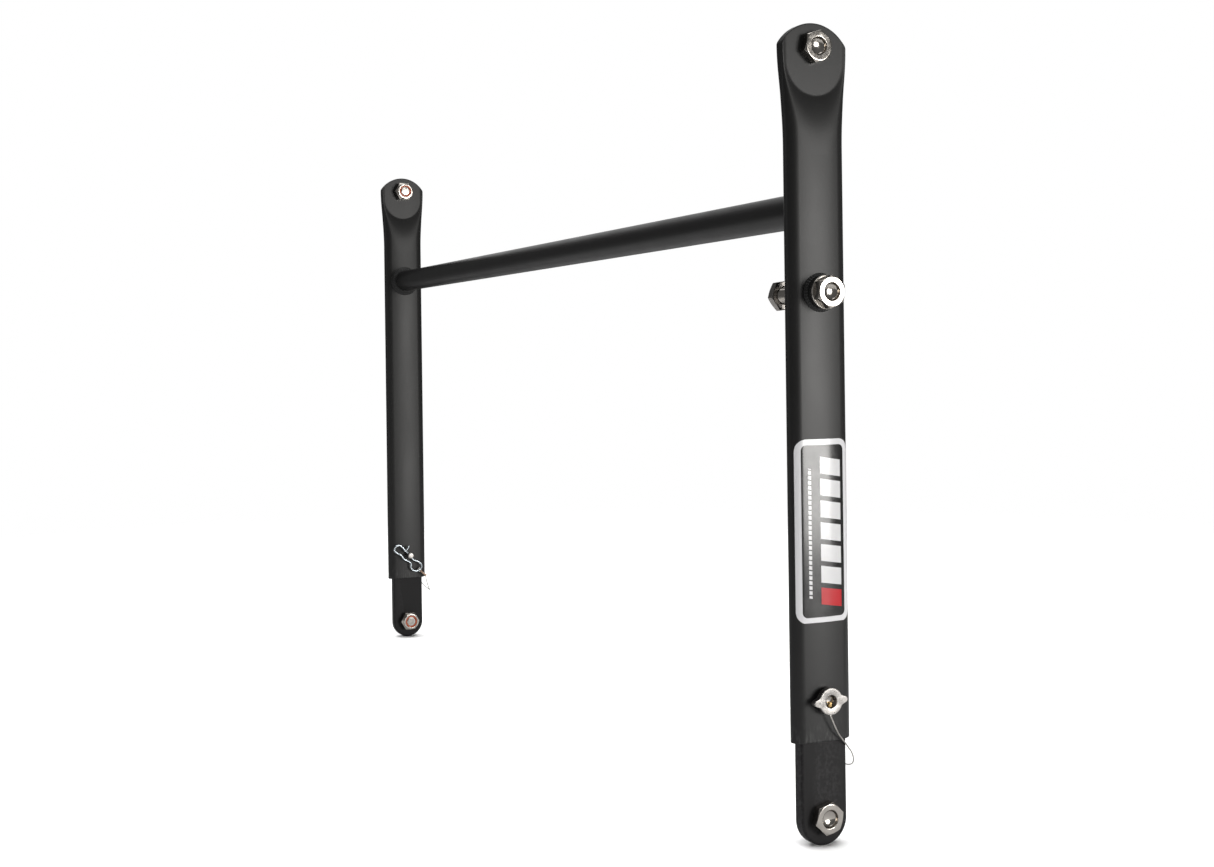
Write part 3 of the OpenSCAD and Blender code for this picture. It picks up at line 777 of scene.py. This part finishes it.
def weld_bead(inner, width, height, ripples):
    """A fillet weld against a face at x = 0, with the ripples that a hand-laid bead leaves."""
    turn = circle(ripples * 5)
    ripple = np.abs(np.sin(turn * ripples / 2)) - 0.5
    corners = [(inner, -WELD_ROOT, 0), (inner + width, -WELD_ROOT, 0),
               (inner + width + 0.12 * ripple, 0, 0.1)]
    for a in np.radians([15, 35, 55, 75]):
        reach = inner + width * (1 - 0.72 * np.sin(a)) + 0.16 * ripple
        corners.append((reach, height * (1 - 0.72 * np.cos(a)) + 0.12 * ripple, 0))
    corners.append((inner, height * 0.97 + 0.08 * ripple, 0.1))
    shape = revolve(corners, turn, closed=True)
    shape.values["wear"] = np.zeros(len(shape.points))
    return shape


def build_crossbar_weld(side):
    node = f"{SIDE_NAMES[side]}_crossbar_weld"
    inner = size("crossbar_tube")[1] / 2 + 0.02
    bead = weld_bead(inner, size(node)[1] / 2 - inner - 0.1, size(node)[0], 46)
    bead = bead.mirrored().moved([-TUBE_FACE, 0, 0])
    build_node(node, placed(bead, side, CROSSBAR_Z), "black_tube", "frame")


# ---- Bolts and nuts --------------------------------------------------------
def head_corners(seat, hexed):
    """Profile of a hex bolt head from its seat to the middle of its dished recess."""
    face = seat + HEAD_H
    bevel = face - (hexed - HEAD_FACE_R) * CHAMFER
    dish = [(RECESS_R * np.sin(a), face - RECESS_WALL - RECESS_DISH * np.cos(a), 0)
            for a in np.radians([75, 62, 50, 38, 26, 13, 0])]
    return [(hexed, seat, 0.18), (hexed, bevel, 0.2), (HEAD_FACE_R, face, 0.25), (RECESS_R, face, 0.35),
            (RECESS_R, face - RECESS_WALL, 0.5), *dish]


def through_bolt(half_t, head_turn):
    """Hex bolt whose drilled head is outboard and whose end is level with the lock nut's rim."""
    turn, hexed = hexagon(head_turn)
    end = -half_t - LOCK_NUT_H
    shank = [(0, end, 0), (BOLT_END_R, end, 0.15), (BOLT_R, end + BOLT_END_BEVEL, 0.15), (BOLT_R, half_t, 0)]
    return revolve(shank + head_corners(half_t, hexed), turn)


def lock_nut(half_t):
    """Lock nut with a collar that holds its nylon ring, on the inboard side."""
    turn, hexed = hexagon(LOCK_NUT_TURN)
    bore = BOLT_R + 0.06
    shelf = LOCK_NUT_H - INSERT_LIP - INSERT_H
    shoulder = COLLAR_R + 0.5
    corners = [(bore, 0, 0.2), (hexed, 0, 0.2), (hexed, LOCK_NUT_HEX_H - (hexed - shoulder) * CHAMFER, 0.2),
               (shoulder, LOCK_NUT_HEX_H, 0.15), (COLLAR_R, LOCK_NUT_HEX_H + 0.2, 0.2),
               (COLLAR_R, LOCK_NUT_H, 0.5), (INSERT_R, LOCK_NUT_H, 0.2), (INSERT_R, shelf, 0.1),
               (bore, shelf, 0.1)]
    return revolve(corners, turn, closed=True).moved([half_t, 0, 0]).mirrored()


def nut_insert(half_t):
    top = LOCK_NUT_H - INSERT_LIP
    bore = BOLT_R + 0.12
    lip = BOLT_END_R + 0.4
    corners = [(bore, top - INSERT_H, 0), (INSERT_R - 0.02, top - INSERT_H, 0), (INSERT_R - 0.02, top, 0.35),
               (lip, top, 0.3), (bore, LOCK_NUT_H - BOLT_END_BEVEL - 0.08, 0)]
    return revolve(corners, circle(72), closed=True).moved([half_t, 0, 0]).mirrored()


def build_joint(side, end, half_t, z, head_turn, body):
    """Bolt, lock nut and nylon ring at the top or foot of a leg."""
    for node, shape, slot in [
        ("bolt", through_bolt(half_t, head_turn), "bright_hardware"),
        ("nut", lock_nut(half_t), "bright_hardware"),
        ("nut_insert", nut_insert(half_t), "nylon_ring"),
    ]:
        build_node(f"{SIDE_NAMES[side]}_{end}_{node}", placed(shape, side, z), slot, body)


def threaded(start, end, turn):
    """Rings of a bolt's thread from start to end, with no thread at first so that it runs out smoothly."""
    rings = []
    for x in np.arange(start, end, THREAD_PITCH / 8):
        wave = np.abs(((x / THREAD_PITCH - turn / TWO_PI) % 1) * 2 - 1)
        full = smoothstep(end, end - 2 * THREAD_PITCH, x) * smoothstep(start, start + THREAD_PITCH, x)
        crest = BOLT_R - 0.45 * (1 - smoothstep(start, start + THREAD_PITCH, x))
        rings.append((crest - THREAD_DEPTH * full * np.clip(wave * 1.25 - 0.1, 0, 1), x, 0))
    return rings


def side_stud_bolt():
    turn, hexed = hexagon(STUD_HEAD_TURN)
    end = [(0, STUD_END_X, 0), (BOLT_END_R, STUD_END_X, 0.1)]
    thread = threaded(STUD_END_X + 0.8, STUD_END_X + THREAD_LENGTH, turn)
    shank = [(BOLT_R, STUD_END_X + THREAD_LENGTH, 0), (BOLT_R, STUD_SEAT_X, 0)]
    return revolve(end + thread + shank + head_corners(STUD_SEAT_X, hexed), turn)


def side_stud_nut():
    """Thin hex nut, bevelled on both faces."""
    turn, hexed = hexagon(STUD_NUT_TURN)
    bevel = (hexed - HEAD_FACE_R) * CHAMFER
    bore = BOLT_R + 0.05
    lead = 0.45
    corners = [(bore + lead, 0, 0), (HEAD_FACE_R, 0, 0.2), (hexed, bevel, 0.2),
               (hexed, THIN_NUT_H - bevel, 0.2), (HEAD_FACE_R, THIN_NUT_H, 0.2),
               (bore + lead, THIN_NUT_H, 0.1), (bore, THIN_NUT_H - lead, 0.1), (bore, lead, 0.1)]
    return revolve(corners, turn, closed=True).moved([-THIN_NUT_X, 0, 0]).mirrored()


def build_side_stud():
    bush = [(BOLT_R + 0.05, -TUBE_FACE, 0.2), (BUSH_R, -TUBE_FACE, 0.3), (BUSH_R, BUSH_X, 0.6),
            (BOLT_R + 0.05, BUSH_X, 0.2)]
    bush = revolve(bush, circle(), closed=True)
    bush.values["wear"] = np.full(len(bush.points), 0.3)
    washer = [(BOLT_R + 0.1, 0, 0.1), (WASHER_R, 0, 0.35), (WASHER_R, STUD_SEAT_X - BUSH_X, 0.5),
              (BOLT_R + 0.1, STUD_SEAT_X - BUSH_X, 0.1)]
    washer = revolve(washer, circle(), closed=True).moved([BUSH_X, 0, 0])
    weld_height, weld_width, _ = size("side_stud_weld")
    weld = weld_bead(BUSH_R + 0.02, weld_width / 2 - BUSH_R - 0.1, weld_height, 36)
    for node, shape, slot in [
        ("side_stud_bush", bush, "black_tube"),
        ("side_stud_weld", weld.moved([TUBE_FACE, 0, 0]), "black_tube"),
        ("side_stud_washer", washer, "bright_hardware"),
        ("side_stud_bolt", side_stud_bolt(), "bright_hardware"),
    ]:
        build_node(node, placed(shape, RIGHT, STUD_Z), slot, "frame")
    # The side stud's nut takes the darker copy of the polished metal, painted shade for where it sits in
    # shadow
    build_node("side_stud_nut", placed(side_stud_nut(), RIGHT, STUD_Z), "bright_hardware", "side_nut",
               material="shaded_hardware")


# ---- Adjuster bars ---------------------------------------------------------
def bar_outline(inset):
    """The bar's outline in (y, z), round at the foot and square at the top, set in by inset."""
    half = BAR_W / 2 - inset
    foot = [(half * np.cos(a), BAR_END_Z + half * np.sin(a)) for a in np.linspace(-np.pi, 0, 49)]
    corner = BAR_CORNER_R - inset * 0.5
    top = BAR_HIGH_Z - inset
    sides = [(half, z) for z in np.linspace(BAR_END_Z, top - corner, 12)[1:]]
    arc = [(half - corner + corner * np.cos(a), top - corner + corner * np.sin(a))
           for a in np.radians([22.5, 45, 67.5, 90])]
    right = sides + arc
    return np.array(foot + right + [(-y, z) for y, z in right[::-1]])


def adjuster_bar():
    rings, wear = [], []
    for a in np.radians([90, 67.5, 45, 22.5, 0, 0, -22.5, -45, -67.5, -90]):
        outline = bar_outline(BAR_EDGE * (1 - np.cos(a)))
        x = (BAR_FACE - BAR_EDGE) * (1 if len(rings) < 5 else -1) + BAR_EDGE * np.sin(a)
        rings.append(np.column_stack([np.full(len(outline), x), outline]))
        wear.append(float(np.cos(a)))
    shape = loft(rings, caps=True, wear=np.repeat(wear, len(rings[0])))
    return Shape(shape.points, [f[::-1] for f in shape.faces], **shape.values)


def build_bar(side):
    name = SIDE_NAMES[side]
    cutters = [hole(BOLT_HOLE_R, BAR_FACE, FOOT_Z, 0.25)]
    cutters += [hole(PIN_R + 0.06, BAR_FACE, PIN_Z + HOLE_PITCH * i, 0.25) for i in HOLES]
    build_node(f"{name}_adjuster_bar", placed(adjuster_bar(), side, 0), "black_bar", f"{name}_adjuster",
               cutters=[placed(c, side, 0) for c in cutters])


# ---- Retaining pins, lanyards and clips ------------------------------------
def eared_outline(turn, ears):
    """Radius of the pin's head: a disc with two ears that blend into it, turned by ears from +Y."""
    apart = np.abs((np.degrees(turn) - ears) % 180 - 90)
    return PIN_HEAD_R + PIN_EAR * np.exp(-((apart / 13.8) ** 2.6))


def pin(side):
    turn = circle(144)
    head = eared_outline(turn, PIN_TURN[side])
    under = PIN_FACE_X - PIN_HEAD_H
    floor = PIN_FACE_X - PIN_RECESS_DEEP
    corners = [(0, PIN_TIP_X, 0), (PIN_R - 0.5, PIN_TIP_X, 0.15), (PIN_R, PIN_TIP_X + 0.5, 0.2),
               (PIN_R, TUBE_FACE, 0), (PIN_SHOULDER_R, TUBE_FACE, 0.2), (PIN_SHOULDER_R, under, 0),
               (head, under, 0.3), (head, PIN_FACE_X, 0.4), (PIN_RECESS_R, PIN_FACE_X, 0.3),
               (PIN_RECESS_R, floor + 0.8, 0.6), (PIN_RECESS_R * 0.72, floor + 0.25, 0),
               (PIN_RECESS_R * 0.4, floor, 0), (0, floor, 0)]
    return revolve(corners, turn)


def aimed(way):
    """The turn that takes the X axis onto way."""
    return Vector((1, 0, 0)).rotation_difference(Vector(way)).to_matrix()


def rod(radius, start, way, length):
    """A plain round cutter from start along way."""
    shape = revolve([(0, 0, 0), (radius, 0, 0), (radius, length, 0), (0, length, 0)], circle(24))
    return shape.turned(aimed(way)).moved(start)


def clip_spot(side, u, v):
    """A point of the clip's own plane, about the pin's axis."""
    turn = np.radians(90 + PIN_TURN[side])
    return [CLIP_X, u * np.cos(turn) - v * np.sin(turn), u * np.sin(turn) + v * np.cos(turn)]


def crimp_way(side):
    """Direction of the crimp sleeve's axis, away from the clip's ring."""
    return np.array([0, np.cos(CRIMP_TURN[side]), np.sin(CRIMP_TURN[side])])


def crimp_spot(side, along):
    """A point along the crimp sleeve's axis, counted from the clip's ring."""
    return np.array(clip_spot(side, *CLIP_RING_END)) + along * crimp_way(side)


def lanyard_line(side):
    """Out of the pin's head, round the leg's edge and up to the crimp sleeve."""
    head = [(FERRULE, 0, FERRULE_LOW_Z + 0.4), (FERRULE, 0, -5.2)]
    return head + LOOP[side] + [tuple(crimp_spot(side, CRIMP_TO - 1))]


def crimp():
    """Sleeve with two pressed waists."""
    length = CRIMP_TO - CRIMP_FROM
    corners = [(0, 0, 0), (CRIMP_R * 0.8, 0, 0.1)]
    for x in np.linspace(0.15, length - 0.15, 31):
        press = np.exp(-((x - length * 0.3) / 0.55) ** 2) + np.exp(-((x - length * 0.7) / 0.55) ** 2)
        corners.append((CRIMP_R * (1 - 0.2 * press), x, 0))
    corners += [(CRIMP_R * 0.8, length, 0.1), (0, length, 0)]
    return revolve(corners, circle(32))


def eye_ring(side):
    """The cable's small eye round the clip's ring, a loop that starts and ends in the crimp sleeve."""
    turn = np.linspace(0, TWO_PI, 49) + CRIMP_TURN[side]
    line = [crimp_spot(side, 0) + EYE_RING_R * np.array([0, np.cos(a), np.sin(a)]) for a in turn]
    return wire(np.array(line), EYE_WIRE_R, sides=12, lobes=6, lay=2.5)


def build_pin(side):
    name = SIDE_NAMES[side]
    pin_body, clip_body = f"{name}_pin_body", f"{name}_clip_body"
    clip_turn = np.radians(90 + PIN_TURN[side])
    cross = np.array([0, np.cos(clip_turn), np.sin(clip_turn)])
    cutters = [rod(CLIP_R + 0.07, np.array([CLIP_X, 0, 0]) - 8 * cross, cross, 16),
               rod(LANYARD_R + 0.1, [FERRULE, 0, -1], (0, 0, -1), 9)]
    build_node(f"{name}_pin", placed(pin(side), side, PIN_Z), "pin_metal", pin_body,
               cutters=[placed(c, side, PIN_Z) for c in cutters])

    length = FERRULE_HIGH_Z - FERRULE_LOW_Z
    barrel = revolve([(0, 0, 0), (FERRULE_R, 0, 0.5), (FERRULE_R, length, 0.6), (0, length, 0)], circle(40))
    barrel = barrel.turned([[0, 0, 1], [0, 1, 0], [-1, 0, 0]]).moved([FERRULE, 0, FERRULE_HIGH_Z])
    build_node(f"{name}_pin_ferrule", placed(barrel, side, PIN_Z), "brass", pin_body)

    line = evenly(smooth_line(lanyard_line(side), 12), 0.22)
    cable = wire(line, LANYARD_R, sides=18, lobes=6)
    cable = build_node(f"{name}_lanyard", placed(cable, side, PIN_Z), "lanyard_wire", None)
    start, end = (placed(Shape([p], []), side, PIN_Z).points[0] * MM for p in (STRETCH_FROM, STRETCH_TO))
    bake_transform(cable)

    sleeve = crimp().turned(aimed(crimp_way(side))).moved(crimp_spot(side, CRIMP_FROM))
    build(f"{name}_crimp_mesh", placed(sleeve, side, PIN_Z), "lanyard_wire", clip_body, material="crimp")
    build(f"{name}_eye_mesh", placed(eye_ring(side), side, PIN_Z), "lanyard_wire", clip_body)

    spring = wire(smooth_line([clip_spot(side, *p) for p in CLIP_LINE], 10), CLIP_R - 0.005, sides=20)
    build_node(f"{name}_clip", placed(spring, side, PIN_Z), "spring_wire", clip_body)


# ---- Label -----------------------------------------------------------------
def leg_label():
    """Thin film on the outboard face; across and up are distances on it from its middle."""
    edge = np.sqrt(np.linspace(0, 1, 9))[:-1] * LABEL_CORNER
    straight = np.linspace(LABEL_CORNER, LABEL_H - LABEL_CORNER, 30)[:-1]
    ups = np.concatenate([LABEL_CORNER - edge[::-1], straight, LABEL_H - LABEL_CORNER + edge,
                          [LABEL_H - 0.02]])
    rings, across, up = [], [], []
    for z in ups:
        near = LABEL_CORNER - min(z, LABEL_H - z, LABEL_CORNER)
        half = LABEL_W / 2 - LABEL_CORNER + np.sqrt(max(LABEL_CORNER**2 - near**2, 0))
        y = half * np.sin(np.linspace(-np.pi / 2, np.pi / 2, 61))
        base = np.stack([face_x(y), y, np.full(len(y), z)], 1)
        slope = (face_x(y + 0.01) - face_x(y - 0.01)) / 0.02
        out = np.stack([np.ones(len(y)), -slope, np.zeros(len(y))], 1) / np.hypot(1, slope)[:, None]
        rings.append(np.concatenate([base + LABEL_LIFT[1] * out, (base + LABEL_LIFT[0] * out)[::-1]]))
        across.append(np.r_[y, y[::-1]])
        up.append(np.full(2 * len(y), z - LABEL_H / 2))
    return loft(rings, caps=True, across=np.concatenate(across), up=np.concatenate(up))


def build_label():
    shape = placed(leg_label(), RIGHT, low("leg_label")[2])
    build_node("leg_label", shape, "label_print", "frame")


# ---- Stage -----------------------------------------------------------------
CAMERA_AT = (0.8604, -0.3720, 0.2012)
CAMERA_AZIMUTH = np.radians(64.503)
CAMERA_ROLL = 0.01305
LENS_MM, SENSOR_MM = 44.826, 36
SHIFT_Y = -0.0572


def add_camera():
    right = Vector((np.cos(CAMERA_AZIMUTH), np.sin(CAMERA_AZIMUTH), 0))
    up = Vector((0, 0, 1))
    back = right.cross(up)
    level = Matrix((right, up, back)).transposed()
    roll = Matrix.Rotation(-CAMERA_ROLL, 3, "Z")
    data = bpy.data.cameras.new("camera")
    data.lens, data.sensor_width, data.shift_y = LENS_MM, SENSOR_MM, SHIFT_Y
    data.clip_start, data.clip_end = 0.01, 50
    camera = bpy.data.objects.new("camera", data)
    camera.matrix_world = Matrix.Translation(CAMERA_AT) @ (level @ roll).to_4x4()
    bpy.context.scene.collection.objects.link(camera)
    bpy.context.scene.camera = camera


def add_softbox(name, at, aim, width, height, power, tint=(1, 1, 1)):
    data = bpy.data.lights.new(name, "AREA")
    data.shape, data.size, data.size_y = "RECTANGLE", width, height
    data.energy, data.color = power, tint
    light = bpy.data.objects.new(name, data)
    light.location = at
    light.rotation_euler = (Vector(at) - Vector(aim)).to_track_quat("Z", "Y").to_euler()
    bpy.context.scene.collection.objects.link(light)


FLOOR_HALF = 3
FLOOR_SEEN, FLOOR_MIRRORED = 0.92, 0.36  # how pale the floor is to the camera, and to what it reflects in
FLOOR_LIGHT = 3.2
ROOM, BACKDROP = 0.12, 1.0               # brightness of the room that the parts reflect, and of the backdrop
FLOOR_NEAR, FLOOR_FAR = 0.55, 1.3        # the floor fades into the backdrop between these distances


def floor_material():
    paint = Paint("floor")
    cloud = paint.noise(40, 3)
    seen = paint.node("LightPath").outputs["Is Camera Ray"]
    pale = paint.spread(seen, FLOOR_MIRRORED, FLOOR_SEEN, 0, 1)
    shade = paint.maths("MULTIPLY", pale, paint.spread(cloud, 0.99, 1.0))
    colour = paint.node("CombineColor", {"Red": shade, "Green": shade, "Blue": shade}).outputs[0]
    paint.set(Base_Color=colour, Roughness=0.9, Specular_IOR_Level=0.1,
              Normal=paint.bump(paint.noise(1.5, 3), 0.05, 0.1))
    away = paint.node("VectorMath", {0: paint.place}, operation="LENGTH").outputs["Value"]
    fade = paint.node("MapRange", {"Value": away, "From Min": FLOOR_NEAR, "From Max": FLOOR_FAR},
                      interpolation_type="SMOOTHSTEP").outputs[0]
    clear = paint.node("BsdfTransparent").outputs[0]
    mixed = paint.node("MixShader", {0: fade, 1: paint.shader.outputs[0], 2: clear}).outputs[0]
    paint.tree.links.new(mixed, paint.tree.nodes["Material Output"].inputs["Surface"])
    return paint.material


def add_floor():
    """Pale floor at the height of the lower foot in any pose, with a light of its own that keeps it white."""
    low_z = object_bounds()[0].z
    mesh = bpy.data.meshes.new("floor")
    corners = [(x * FLOOR_HALF, y * FLOOR_HALF, 0) for x, y in ((-1, -1), (1, -1), (1, 1), (-1, 1))]
    mesh.from_pydata(corners, [], [(0, 1, 2, 3)])
    floor = bpy.data.objects.new("floor", mesh)
    floor.location.z = low_z
    mesh.materials.append(floor_material())
    stage = bpy.data.collections.new("stage")
    stage.objects.link(floor)
    bpy.context.scene.collection.children.link(stage)
    driver = floor.driver_add("location", 2).driver
    for side, name in SIDE_NAMES.items():
        variable = driver.variables.new()
        variable.name, variable.type = name, "TRANSFORMS"
        variable.targets[0].id = frame["bodies"][f"{name}_adjuster"]
        variable.targets[0].transform_type, variable.targets[0].transform_space = "LOC_Z", "WORLD_SPACE"
    driver.expression = f"{low_z:.6f} + min(left, right)"

    sky = bpy.data.lights.new("floor_light", "SUN")
    sky.energy, sky.angle = FLOOR_LIGHT, np.radians(80)
    light = bpy.data.objects.new("floor_light", sky)
    light.rotation_euler = (0.15, -0.15, 0)
    light.light_linking.receiver_collection = stage
    bpy.context.scene.collection.objects.link(light)


def add_world():
    """White backdrop for the camera, and a dim room for everything that reflects it."""
    world = bpy.data.worlds.new("world")
    world.use_nodes = True
    tree = world.node_tree
    tree.nodes.clear()
    path = tree.nodes.new("ShaderNodeLightPath")
    room, backdrop = tree.nodes.new("ShaderNodeBackground"), tree.nodes.new("ShaderNodeBackground")
    for background, strength in ((room, ROOM), (backdrop, BACKDROP)):
        background.inputs["Color"].default_value = rgb(1, 1, 1)
        background.inputs["Strength"].default_value = strength
    mixed, output = tree.nodes.new("ShaderNodeMixShader"), tree.nodes.new("ShaderNodeOutputWorld")
    tree.links.new(path.outputs["Is Camera Ray"], mixed.inputs[0])
    tree.links.new(room.outputs[0], mixed.inputs[1])
    tree.links.new(backdrop.outputs[0], mixed.inputs[2])
    tree.links.new(mixed.outputs[0], output.inputs["Surface"])
    bpy.context.scene.world = world


def add_lights():
    """Soft boxes, each as place, aim, width, height, power and tint."""
    add_softbox("key", (1.55, 0.66, 0.23), (0.15, 0, 0.2), 0.62, 0.56, 12, (1, 0.985, 0.96))
    add_softbox("fill", (-0.1, -1.9, 0.5), (0, 0, 0.17), 0.9, 1.2, 1.6)
    add_softbox("top", (0.1, 0.1, 1.9), (0, 0, 0.1), 2.0, 1.6, 14)
    add_softbox("back", (-1.7, 0.5, 0.9), (0, 0, 0.17), 1.2, 1.1, 4)


for leg in (LEFT, RIGHT):
    build_leg(leg)
    build_crossbar_weld(leg)
    build_joint(leg, "top", EYE_FACE, TOP_Z, TOP_HEAD_TURN, "frame")
    build_bar(leg)
    build_joint(leg, "foot", BAR_FACE, FOOT_Z, FOOT_HEAD_TURN, f"{SIDE_NAMES[leg]}_adjuster")
    build_pin(leg)
build_crossbar()
build_side_stud()
build_label()
add_camera()
add_floor()
add_world()
add_lights()
bpy.context.scene.view_settings.view_transform = "Standard"
